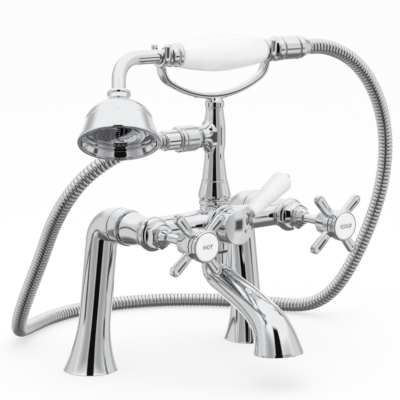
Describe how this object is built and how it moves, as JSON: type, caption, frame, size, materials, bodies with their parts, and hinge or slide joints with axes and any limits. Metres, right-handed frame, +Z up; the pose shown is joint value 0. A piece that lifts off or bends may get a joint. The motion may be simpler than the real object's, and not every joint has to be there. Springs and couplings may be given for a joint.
{
  "type": "bath shower mixer",
  "caption": "Deck mounted chrome bath shower mixer with cross handles, a diverter lever, and a ceramic grip handset on a cradle with a ribbed metal hose.",
  "frame": {"origin": "on the deck, midway between the two inlets", "axes": "+X from the hot side to the cold side, -Y towards the user, +Z up"},
  "size_m": [0.3839, 0.3427, 0.2911],
  "materials": {
    "chrome": "polished",
    "brass": "machined",
    "ceramic": "glazed",
    "rubber": "matt",
    "spray_plate": "polished",
    "hose": "ribbed"
  },
  "bodies": {
    "base": {"leg_hot": "chrome", "leg_cold": "chrome", "inlet_insert_hot": "brass", "inlet_insert_cold": "brass", "union_collar_hot": "chrome", "union_collar_cold": "chrome", "union_washer_hot": "rubber", "union_washer_cold": "rubber", "bridge_body": "chrome", "bonnet_hot": "chrome", "bonnet_cold": "chrome", "seat_disc_hot": "ceramic", "seat_disc_cold": "ceramic", "diverter_collar": "chrome", "spout": "chrome", "spout_washer": "rubber", "flow_straightener": "chrome", "column": "chrome", "bell_nut": "chrome", "column_washer": "rubber", "cradle": "chrome", "hose_nut_base": "chrome", "hose_washer_base": "rubber", "hose_sleeve_base": "chrome", "hose": "hose"},
    "hot_handle": {"crosshead_hot": "chrome", "index_ring_hot": "chrome", "index_disc_hot": "ceramic", "spindle_hot": "chrome", "turn_disc_hot": "ceramic", "handle_screw_hot": "brass"},
    "cold_handle": {"crosshead_cold": "chrome", "index_ring_cold": "chrome", "index_disc_cold": "ceramic", "spindle_cold": "chrome", "turn_disc_cold": "ceramic", "handle_screw_cold": "brass"},
    "diverter": {"diverter_cap": "chrome", "lever_neck": "chrome", "lever_grip": "ceramic", "lever_bead": "chrome", "diverter_spindle": "brass", "diverter_rotor": "ceramic"},
    "handset": {"rose_shell": "chrome", "rose_rim": "chrome", "rose_plate": "spray_plate", "neck_tube": "chrome", "front_ferrule": "chrome", "grip": "ceramic", "core_tube": "brass", "rear_ferrule": "chrome", "hose_nut_handset": "chrome", "hose_washer_handset": "rubber", "hose_cone": "chrome"}
  },
  "joints": [
    {"name": "hot_handle_turn", "type": "hinge", "parent": "base", "child": "hot_handle", "pos_m": [-0.075, -0.13, 0.129], "axis": [0, -1, 0], "range_deg": [0, 90]},
    {"name": "cold_handle_turn", "type": "hinge", "parent": "base", "child": "cold_handle", "pos_m": [0.075, -0.13, 0.129], "axis": [0, 1, 0], "range_deg": [0, 90]},
    {"name": "diverter_turn", "type": "hinge", "parent": "base", "child": "diverter", "pos_m": [0, -0.0883, 0.129], "axis": [0, -1, 0], "range_deg": [0, 90]},
    {"name": "handset_lift", "type": "slide", "parent": "base", "child": "handset", "axis": [0, 0, 1], "range_m": [0, 0.06], "deforming": ["hose"]}
  ]
}
